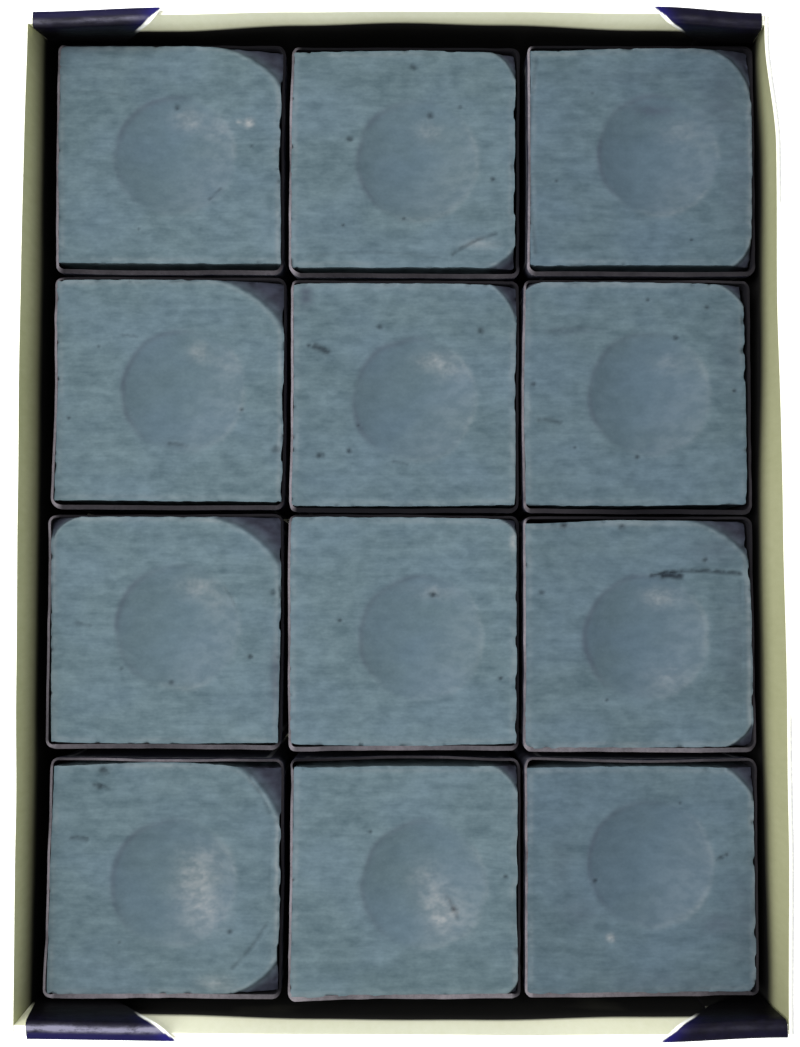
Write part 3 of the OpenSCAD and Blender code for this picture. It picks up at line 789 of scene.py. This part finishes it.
def paper_wrap(tag, cube, materials, rng):
    """One wrap: four sides and an underside, open at the top, leaning out a little at its edge."""
    low, high = box_mm(f"wrap_{tag}")
    middle = (low + high) / 2
    half = (high - low) / 2
    ring, normals = round_ring(half[0], half[1], WRAP_CORNER, WRAP_STEP)
    around = len(ring)
    pale = np.zeros(around)
    lean = np.zeros(around)
    fray = np.full(around, 0.03)
    corner = np.maximum(-normals[:, 0], 0) * np.maximum(-normals[:, 1], 0)
    for side, (nx, ny) in SIDES.items():
        facing = np.maximum(normals[:, 0] * nx + normals[:, 1] * ny, 0) ** 2
        run = ring[:, 1] / half[1] if nx else ring[:, 0] / half[0]
        share = np.clip(run / 2 + 0.5, 0, 1)
        stand, _, edge_pale = cube[side]
        lean += facing * along_side(stand, share)
        # Painted highlight on the cut edge, side by side, where it catches the light.
        pale += facing * along_side(edge_pale, share)
        fray += facing * 0.2 * (side == "near")
    # Painted highlight on the near-left corner of the cut edge.
    pale += 1.1 * corner
    outward = ring + 3 * normals
    wander = value_noise(rng, outward[:, 0], outward[:, 1], 5.0, 5.0)
    ripple = value_noise(rng, outward[:, 0], outward[:, 1], 1.6, 1.6)
    lean += 0.05 * wander + 0.03 * ripple
    pale = np.clip(pale * (1 + 0.35 * wander + 0.3 * ripple), 0, 1)
    lowered = (1 - np.clip(pale * 3, 0, 1)) * (0.6 + 0.4 * wander)
    top = high[2] - 0.05 - 0.35 * lowered + 0.03 * ripple
    outer, inner, height = [], [], []
    for s in WRAP_LEVELS:
        bend = lean * smooth_step(s, 0.72, 1.0) ** 1.5 - 0.12 * (s == 0)
        offset = ring + normals * bend[:, None]
        z = low[2] + (top - low[2]) * s
        outer.append(np.column_stack([offset + middle[:2], z]))
        thick = WRAP_THICKNESS + fray * smooth_step(s, 0.93, 1.0)
        inward = offset - normals * thick[:, None]
        inner.append(np.column_stack([inward + middle[:2], np.maximum(z, low[2] + WRAP_THICKNESS)]))
        height.append(np.full(around, s))
    points = np.concatenate(outer + inner)
    rows = len(WRAP_LEVELS)
    loops = np.arange(2 * rows * around).reshape(-1, around)
    outside, inside = loops[:rows], loops[rows:]
    faces = []
    for below, above in zip(outside, outside[1:]):
        faces += bridge(below, above)
    for below, above in zip(inside[1:], inside[2:]):
        faces += bridge(above, below)
    faces += bridge(outside[-1], inside[-1])
    faces += [outside[0][::-1].tolist(), inside[1].tolist()]
    kinds = [0] * (rows - 1) * around + [1] * (rows - 2) * around + [2] * around + [0, 1]
    rise = np.concatenate(height * 2)
    upright = np.tile(np.abs(normals[:, 0] * normals[:, 1]) > 0.02, 2 * rows)
    rubbed = np.where(upright, 0.8, 0.15) + 0.7 * (rise < 0.02) + 0.7 * (rise > 0.97)
    attributes = dict(rubbed=rubbed, edge_pale=np.tile(pale, 2 * rows))
    return make_piece(
        f"paper_wrap_{tag}", points, faces, materials, kinds, attributes,
        f"cube_{tag}", [f"wrap_{tag}"],
    )


# ---- tray ----------------------------------------------------------------------------------

# The board has warped since it was folded. For places along each wall: how far it has moved
# outwards at its rim, and at the height of the chalk's tops, in mm.
WARP = {
    "left": ((-46, -30, -17, 0, 21, 35, 46), (-0.1, 0.0, 0.2, 0.35, 0.45, 0.35, 0.25),
             (-0.4, -0.4, -0.35, -0.3, -0.2, -0.15, -0.1)),
    "right": ((-46, -30, -17, 0, 21, 35, 46), (0.5, 0.7, 0.7, 0.5, 0.2, 0.25, -0.7),
              (0.2, 0.0, -0.2, -0.35, 0.0, 0.1, -0.3)),
    "far": ((-35, -22, -10, 0, 10, 24, 35), (-0.75, -0.25, 0.0, 0.1, 0.05, -0.05, -0.65),
            (0.0, 0.05, 0.65, 0.95, 0.7, 0.25, 0.0)),
    "near": ((-35, -21, -8, 0, 8, 22, 35), (0.05, 0.25, 0.3, 0.3, 0.3, 0.25, -0.25),
             (-0.4, -0.2, 0.15, 0.2, 0.15, -0.15, -0.3)),
}


class Tray:
    """The tray's main sizes in millimetres, read from the frame."""

    def __init__(self):
        floor_low, floor_high = box_mm("tray_floor")
        self.board = floor_high[2] - floor_low[2]
        self.outer = floor_high[:2]
        self.inner = self.outer - self.board
        self.wall_top = box_mm("end_wall_far")[1][2]
        self.rim = box_mm("corner_ear_far_left")[1][2]
        self.chalk_top = box_mm("chalk_r2c2")[1][2]


def warp_at(side, run, z, tray):
    """How far a wall has moved outwards at a place along it and a height."""
    places, at_rim, at_chalk = (np.array(row, float) for row in WARP[side])
    run = np.clip(run, places[0], places[-1])
    k = np.clip(np.searchsorted(places, run, side="right") - 1, 0, len(places) - 2)
    t = (run - places[k]) / (places[k + 1] - places[k])
    t = t * t * (3 - 2 * t)
    rim = at_rim[k] * (1 - t) + at_rim[k + 1] * t
    level = at_chalk[k] * (1 - t) + at_chalk[k + 1] * t
    rise = np.sin(math.pi / 2 * np.clip(z / tray.chalk_top, 0, 1))
    over = np.clip((z - tray.chalk_top) / (tray.wall_top - tray.chalk_top), 0, 1.12)
    return level * rise + (rim - level) * over


def warp(x, y, z, side, tray):
    """Moves a wall's points outwards as it has warped, and its ends along with its neighbours."""
    nx, ny = SIDES[side]
    along, half = (y, tray.outer[1]) if nx else (x, tray.outer[0])
    out = warp_at(side, along, z, tray)
    slide = np.zeros_like(x)
    for turn, neighbour in ((-1, "near" if nx else "left"), (1, "far" if nx else "right")):
        share = np.clip((along * turn / half + 1) / 2, 0, 1) ** 10
        corner = (nx * tray.outer[0]) if nx else (ny * tray.outer[1])
        slide += turn * share * warp_at(neighbour, np.full_like(x, corner), z, tray)
    return x + nx * out + (0 if nx else slide), y + ny * out + (slide if nx else 0)


def swept_sheet(name, sheet_in, sheet_out, ends, steps, side, tray, look, node, masks):
    """A sheet of board swept along a wall. sheet_in and sheet_out are matching rows of (v, z), v
    outwards from the wall's inner face; ends gives where the sheet starts and stops along the
    wall for rows of (v, z); look is (materials in, out and edge, slot), and its slot is not used;
    masks are functions of (v, z, run, stop) that colour it."""
    nx, ny = SIDES[side]
    distance = abs(nx) * tray.inner[0] + abs(ny) * tray.inner[1]
    materials, slot = look
    count = len(sheet_in)
    places, grids = [], []
    for rows in (np.array(sheet_in), np.array(sheet_out)):
        start, stop = ends(rows[:, 0], rows[:, 1])
        share = np.linspace(0, 1, steps + 1)[:, None]
        run = start[None, :] * (1 - share) + stop[None, :] * share
        v = np.broadcast_to(rows[:, 0], run.shape)
        z = np.broadcast_to(rows[:, 1], run.shape)
        wave = value_noise(np.random.default_rng(SHEET_SEED), run, z, 9.0, 14.0) * 0.06
        out = distance + v + wave * smooth_step(z, 1.0, tray.wall_top)
        x = nx * out + abs(ny) * run
        y = ny * out + abs(nx) * run
        x, y = warp(x, y, z, side, tray)
        grids.append(np.stack([x, y, z], -1).reshape(-1, 3))
        places.append([a.reshape(-1) for a in (v, z, run, np.broadcast_to(stop[None, :], run.shape))])
    points = np.concatenate(grids)
    size = (steps + 1) * count
    inside, border = grid_faces(steps + 1, count)
    outside = inside[:, ::-1] + size
    faces = inside.tolist() + outside.tolist() + bridge(border + size, border, 2)
    kinds = [0] * len(inside) + [1] * len(outside) + [2] * len(border)
    if (start[0] > stop[0]) != (nx - ny > 0):
        faces = [face[::-1] for face in faces]
    v, z, run, stop = (np.concatenate([a, b]) for a, b in zip(*places))
    attributes = {key: np.broadcast_to(rule(v, z, run, stop), v.shape) for key, rule in masks.items()}
    return make_piece(name, points, faces, materials, kinds, attributes, "tray", [node])


SHEET_SEED = 5
WALL_ROWS = 34           # points up a wall
EAR_ROWS = 22            # points up the straight part of an ear
TAB_ROWS = 15
LONG_STEPS, END_STEPS, EAR_STEPS, TAB_STEPS = 120, 96, 70, 10   # steps along each kind of sheet
CREASE_ROWS = 5          # rows round the floor's rounded edge
SIDE_NAMES = {-1: ("left", "near"), 1: ("right", "far")}
GLUE = 0.03              # gap between an end wall, its glue tab and its ear
EAR_BEND = 0.62          # outside radius of an ear's fold
EAR_MARGIN = 0.45        # unprinted strip along an ear's free end
# How far each ear is drawn back from the long wall, the slant of its free end in degrees, and how
# pale its fold is: scuffed wear and a painted highlight.
EARS = {
    "far_left": (0.2, 34, 0.5), "far_right": (0.0, 39, 0.1),
    "near_left": (1.0, 46, 2.6), "near_right": (-0.2, 43, 0.08),
}


def build_tray(cream, white, navy, board_edge):
    """Long walls, end walls, corner ears, glue tabs and floor."""
    tray = Tray()
    for side in ("left", "right"):
        long_wall(side, tray, cream, white, board_edge)
    for side in ("near", "far"):
        end_wall(side, tray, cream, navy, board_edge)
    for side_x in (-1, 1):
        for side_y in (-1, 1):
            corner_pieces(side_x, side_y, tray, cream, navy, board_edge)
    tray_floor(tray, cream, white)


def wall_rows(tray):
    """Matching rows of a wall's inner and outer faces, closest together near the rim."""
    rises = tray.board + (tray.wall_top - tray.board) * np.linspace(0, 1, WALL_ROWS) ** 0.7
    return [(0, z) for z in rises], [(tray.board, z) for z in rises]


def straight_ends(start, stop):
    """Ends of a sheet that starts and stops square."""
    return lambda v, z: (np.full(len(z), start), np.full(len(z), stop))


def long_wall(side, tray, cream, white, board_edge):
    """Right across the tray's length: cream inside, off-white outside."""
    inside, outside = wall_rows(tray)
    # Painted shade on each long wall: how olive it is, and where its near-black band starts and ends, in
    # mm from the cubes' tops.
    olive, low, high, tilt = (1.2, -3.8, 2.0, 0.0) if side == "left" else (1.55, -2.2, 1.8, -0.012)

    ends = straight_ends(-tray.outer[1], tray.outer[1])

    # Painted shade, near black, below the cubes' tops, in the crevice between the wall and the cubes.
    def shaded_low(v, z, run, stop):
        return smooth_step(tray.chalk_top - z - tilt * run, low, high) * (np.abs(run) < tray.inner[1])

    def outside_ink(v, z, run, stop):
        return 0.9 * (side == "right") * (v > tray.board / 2) * (np.abs(run - 5) > 24)

    swept_sheet(
        f"tray_long_wall_{side}", inside, outside, ends, LONG_STEPS, side, tray,
        ([cream, white, board_edge], "board_cream"), f"long_wall_{side}",
        {"low_shade": shaded_low, "olive": lambda v, z, run, stop: olive, "ink": outside_ink,
         "rule": lambda v, z, run, stop: smooth_step(0.6 - np.abs(np.abs(z - 13.5) - 9.5), 0, 0.3)},
    )


def end_wall(side, tray, cream, navy, board_edge):
    """Between the long walls: cream inside, navy outside."""
    inside, outside = wall_rows(tray)

    ends = straight_ends(-tray.inner[0], tray.inner[0])
    border = tray.chalk_top + (0.5 if side == "near" else -0.1)

    # Painted shade, near black, below the cubes' tops, in the crevice between the wall and the cubes.
    def shaded_low(v, z, run, stop):
        return smooth_step(border - z, -0.3, 0.3) * (v < tray.board / 2)

    def outside_blue(v, z, run, stop):
        return 0.28 * (v > tray.board / 2)

    # Painted shade: a little olive on both end walls, and more towards the bottom of the far one.
    def turned(v, z, run, stop):
        return 0.1 + 0.36 * (side == "far") * smooth_step(border - z, -2.8, 0.0)

    def rubbed(v, z, run, stop):
        return smooth_step(z, tray.wall_top - 1.2, tray.wall_top) + smooth_step(-z, -1.6, -tray.board)

    swept_sheet(
        f"tray_end_wall_{side}", inside, outside, ends, END_STEPS, side, tray,
        ([cream, navy, board_edge], "board_cream"), f"end_wall_{side}",
        {"low_shade": shaded_low, "wear": rubbed, "olive": turned, "blue": outside_blue},
    )


def ear_rows(low, tray):
    """Matching rows of an ear: up inside the wall, round its fold, and over the rim."""
    inner_face = -2 * (tray.board + GLUE)
    centre = (inner_face + EAR_BEND, tray.rim - EAR_BEND)
    tight = EAR_BEND - tray.board
    under = tray.wall_top + 0.03
    rises = np.linspace(low, centre[1], EAR_ROWS)
    sheet_in = [(inner_face, z) for z in rises]
    sheet_out = [(inner_face + tray.board, z) for z in rises]
    for angle in np.radians(np.linspace(0, 90, 10)[1:]):
        sheet_in.append((centre[0] - EAR_BEND * math.cos(angle), centre[1] + EAR_BEND * math.sin(angle)))
        sheet_out.append((centre[0] - tight * math.cos(angle), centre[1] + tight * math.sin(angle)))
    for v in np.linspace(centre[0], tray.board, 7)[1:]:
        sheet_in.append((v, tray.rim))
        sheet_out.append((v, under))
    for out, down in ((0.1, 0.05), (0.18, 0.16), (0.23, 0.34), (0.24, 0.6)):
        sheet_in.append((tray.board + out, tray.rim - down))
        sheet_out.append((tray.board + 0.02, under - down / 2))
    return sheet_in, sheet_out


def corner_pieces(side_x, side_y, tray, cream, navy, board_edge):
    """The navy ear folded in over an end wall's rim, and the glue tab behind it."""
    side = SIDE_NAMES[side_y][1]
    where = f"{side}_{SIDE_NAMES[side_x][0]}"
    ear_low, ear_high = box_mm(f"corner_ear_{where}")
    tab_low, tab_high = box_mm(f"glue_tab_{where}")
    inset, slant, fold_wear_and_sheen = EARS[where]
    ear_stop, ear_reach = sorted((abs(ear_low[0]), abs(ear_high[0])))
    ear_start = side_x * (ear_reach - inset)
    sheet_in, sheet_out = ear_rows(ear_low[2], tray)

    def ear_ends(v, z):
        down = (tray.rim - z) + np.clip(tray.board - v, 0, 1.4)
        wave = 0.1 * np.sin(down * 0.75)
        stop = np.minimum(ear_stop + down * math.tan(math.radians(slant)) + wave, abs(ear_start) - 0.6)
        return ear_start + side_x * 0.12 * inset * down, side_x * stop

    # Scuffed wear and a painted highlight, in a band along the fold.
    def wear(v, z, run, stop):
        return fold_wear_and_sheen * (np.exp(-((v + 0.4) / 0.22) ** 2) * (z > tray.rim - 0.6))

    def unprinted(v, z, run, stop):
        margin = EAR_MARGIN * (1 - 0.85 * smooth_step(v, -0.5, 0.4))
        margin = margin * smooth_step(z, tray.chalk_top, tray.rim - 1)
        return smooth_step(margin - np.abs(run - stop), -0.12, 0.05)

    def blue(v, z, run, stop):
        fold_edge_blue = 0.4 * min(fold_wear_and_sheen, 1) * smooth_step(v, -0.2, 0.1)
        return np.exp(-((run - stop) / 1.2) ** 2) * smooth_step(v, -1.7, 0.2) + fold_edge_blue

    # Painted shade, near black, on the ear from a little above the cubes' tops down.
    def ear_low_shade(v, z, run, stop):
        return smooth_step(tray.chalk_top + 2.7 - z, -0.7, 0.5)

    def shade(v, z, run, stop):
        return smooth_step(tray.rim - z, 0.6, 3.2)

    swept_sheet(
        f"tray_corner_ear_{where}", sheet_in, sheet_out, ear_ends, EAR_STEPS, side, tray,
        ([navy, cream, board_edge], "board_navy"), f"corner_ear_{where}",
        {"wear": wear, "bare": unprinted, "deep": shade, "blue": blue, "low_shade": ear_low_shade},
    )
    tab_stop, tab_start = (side_x * v for v in sorted((abs(tab_low[0]), abs(tab_high[0]))))
    rises = np.linspace(tray.board, tray.wall_top, TAB_ROWS)
    swept_sheet(
        f"tray_glue_tab_{where}", [(-GLUE - tray.board, z) for z in rises], [(-GLUE, z) for z in rises],
        straight_ends(tab_start, tab_stop), TAB_STEPS, side, tray,
        ([cream, cream, board_edge], "board_cream"), f"glue_tab_{where}",
        # Painted shade on the glue tab: near black below the cubes' tops, and a little olive.
        {"low_shade": lambda v, z, run, stop: smooth_step(tray.chalk_top - z, -0.4, 0.3),
         "olive": lambda v, z, run, stop: 0.3},
    )


def tray_floor(tray, cream, white):
    """Bottom panel, with the rounded creases that the walls fold up from."""
    board = tray.board
    ring, normals = round_ring(tray.outer[0], tray.outer[1], board, 2.0)
    around = len(ring)
    rows = []
    for k in range(CREASE_ROWS):
        angle = math.radians(90 * k / (CREASE_ROWS - 1))
        inset = board * (1 - math.cos(angle)) * 0.9
        z = board * (1 - math.sin(angle))
        rows.append(np.column_stack([ring - normals * inset, np.full(around, z)]))
    points = np.concatenate(rows)
    loops = np.arange(CREASE_ROWS * around).reshape(CREASE_ROWS, around)
    faces = [loops[0].tolist()]
    for above, below in zip(loops, loops[1:]):
        faces += bridge(below, above, 2)
    faces.append(loops[-1][::-1].tolist())
    kinds = [0] + [1] * (len(faces) - 1)
    zero = np.zeros(len(points))
    # Painted shade: the floor's cream top darkened halfway to near black, under the cubes.
    make_piece(
        "tray_floor_panel", points, faces, [cream, white], kinds, dict(low_shade=zero + 0.5, rule=zero),
        "tray", ["tray_floor"],
    )


# ---- stage, light and camera ---------------------------------------------------------------


FLOOR_REACH = 30.0       # metres from the middle of the stage to each side of its floor


def build_stage():
    mesh = bpy.data.meshes.new("studio_floor")
    corners = [(x * FLOOR_REACH, y * FLOOR_REACH, 0) for x, y in ((-1, -1), (1, -1), (1, 1), (-1, 1))]
    mesh.from_pydata(corners, [], [(0, 1, 2, 3)])
    mesh.materials.append(floor_material())
    floor = bpy.data.objects.new("studio_floor", mesh)
    bpy.context.scene.collection.objects.link(floor)


SKY = 0.62               # brightness of the even sky
GLOW_NEAR = 3.9          # extra brightness low down on the near side, and on the far side
GLOW_FAR = 2.4
KEY = 7.5                # watts
KEY_SIZE = 0.4
KEY_PLACE = (-0.33, 0.09, 0.7)
KEY_TARGET = (0, 0, 0.02)


def build_key():
    """A soft disc of light aimed at the cubes."""
    data = bpy.data.lights.new("key_upper_left", "AREA")
    data.shape = "DISK"
    data.size = KEY_SIZE
    data.energy = KEY
    light = bpy.data.objects.new("key_upper_left", data)
    light.location = KEY_PLACE
    aim = Vector(KEY_TARGET) - Vector(KEY_PLACE)
    light.rotation_euler = aim.to_track_quat("-Z", "Y").to_euler()
    bpy.context.scene.collection.objects.link(light)


def build_light():
    """Soft key from high on the left, an even sky, and glow low on the near and far sides."""
    n = Nodes(bpy.data.worlds.new("studio_air"))
    split = n.add("ShaderNodeSeparateXYZ")
    n.link(n.add("ShaderNodeTexCoord").outputs["Generated"], split.inputs["Vector"])
    low = n.math("POWER", n.math("SUBTRACT", 1.0, n.math("ABSOLUTE", split.outputs["Z"])), 2.0)
    nearness = n.math("MAXIMUM", n.times(split.outputs["Y"], -1.0), 0.0)
    farness = n.math("MAXIMUM", split.outputs["Y"], 0.0)
    near_glow = n.times(n.math("POWER", nearness, 2.0), GLOW_NEAR)
    far_glow = n.times(n.math("POWER", farness, 2.0), GLOW_FAR)
    glow = n.times(n.plus(near_glow, far_glow), low)
    sky = n.tree.nodes["Background"].inputs
    n.link(n.plus(SKY, glow), sky["Strength"])
    sky["Color"].default_value = (1.0, 1.0, 1.0, 1)
    bpy.context.scene.world = n.owner
    build_key()
    bpy.context.scene.view_settings.view_transform = "Standard"
    bpy.context.scene.view_settings.look = "None"


# Camera: straight down on the tray from about 13 cm above the chalk, tipped a little.
CAMERA_PLACE = (-0.07, -7.7, 152.9)
CAMERA_TURN = (3.0, -0.06, 0.18)
CAMERA_LENS = 46.3


def build_camera():
    data = bpy.data.cameras.new("camera")
    data.sensor_width = 36
    data.lens = CAMERA_LENS
    data.clip_start = 0.01
    data.clip_end = 100
    camera = bpy.data.objects.new("camera", data)
    camera.location = [v * MM for v in CAMERA_PLACE]
    camera.rotation_euler = [math.radians(v) for v in CAMERA_TURN]
    bpy.context.scene.collection.objects.link(camera)
    bpy.context.scene.camera = camera


build_camera()
build_light()
build_stage()
chalk = chalk_material()
wrap_materials = [
    print_material(),
    paper_material("wrap_inside", paint(22, 21, 28), paint(34, 33, 42), 0.85),
    wrap_edge_material(),
]
for number, (tag, cube) in enumerate(CUBES.items()):
    chalk_block(tag, cube, chalk, np.random.default_rng(CHALK_SEED + number))
    paper_wrap(tag, cube, wrap_materials, np.random.default_rng(WRAP_SEED + number))
build_tray(cream_material(), white_material(), navy_material(), edge_material())
